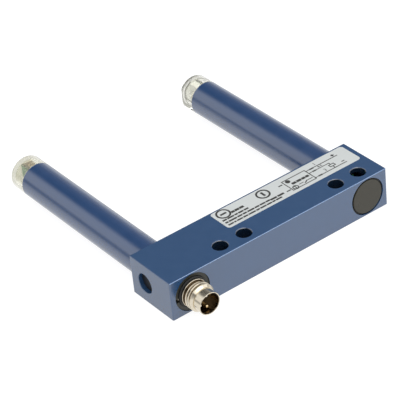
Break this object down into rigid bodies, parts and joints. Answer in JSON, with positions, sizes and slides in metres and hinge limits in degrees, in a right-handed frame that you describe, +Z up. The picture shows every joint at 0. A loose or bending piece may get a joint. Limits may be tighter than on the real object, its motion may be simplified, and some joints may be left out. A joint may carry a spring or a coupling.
{
  "type": "fork sensor",
  "caption": "Fork-shaped light barrier: parallel tubular arms with clear end caps face each other across a gap, on a flat block with screw holes and a small threaded plug.",
  "frame": {"origin": "centre of the block's underside", "axes": "+Y from the block towards the arms' tips, with the plug along -Y; +Z up through the labelled face; +X along the block from the plug's end towards the other end"},
  "size_m": [0.0746, 0.0855, 0.0121],
  "materials": {
    "anodised_blue": "satin blue anodised",
    "clear_cap": "clear, moulded",
    "nickel": "nickel plated, turned",
    "contact_gold": "gold plated",
    "insert_plastic": "dark, moulded",
    "black_plastic": "black, moulded",
    "black_rubber": "soft, dull",
    "grey_plastic": "dark grey, moulded",
    "label_foil": "pale silver foil with dark print",
    "board_green": "green solder resist on glass-fibre board",
    "holder_brown": "grey-brown, moulded",
    "holder_white": "off-white, moulded",
    "diode_epoxy": "clear epoxy",
    "chip_black": "black moulding compound with tinned legs",
    "capacitor_yellow": "yellow moulding resin",
    "wire_insulation": "coloured insulation"
  },
  "bodies": {
    "root": {"housing_block": "anodised_blue", "left_tube": "anodised_blue", "right_tube": "anodised_blue", "left_end_cap": "clear_cap", "right_end_cap": "clear_cap", "connector_shell": "nickel", "contact_pin_1": "contact_gold", "contact_pin_3": "contact_gold", "contact_pin_4": "contact_gold", "connector_insert": "insert_plastic", "connector_carrier": "black_plastic", "channel_plug": "black_plastic", "connector_seal": "black_rubber", "plug_seal": "black_rubber", "bore_plug": "grey_plastic", "rating_label": "label_foil", "emitter_board": "board_green", "receiver_board": "board_green", "connector_board": "board_green", "emitter_holder": "holder_brown", "receiver_holder": "holder_white", "emitter_diode": "diode_epoxy", "receiver_diode": "diode_epoxy", "regulator": "chip_black", "driver_chip": "chip_black", "amplifier_chip": "chip_black", "emitter_resistors": "chip_black", "receiver_resistors": "chip_black", "supply_capacitor": "capacitor_yellow", "link_wires": "wire_insulation"}
  },
  "joints": []
}
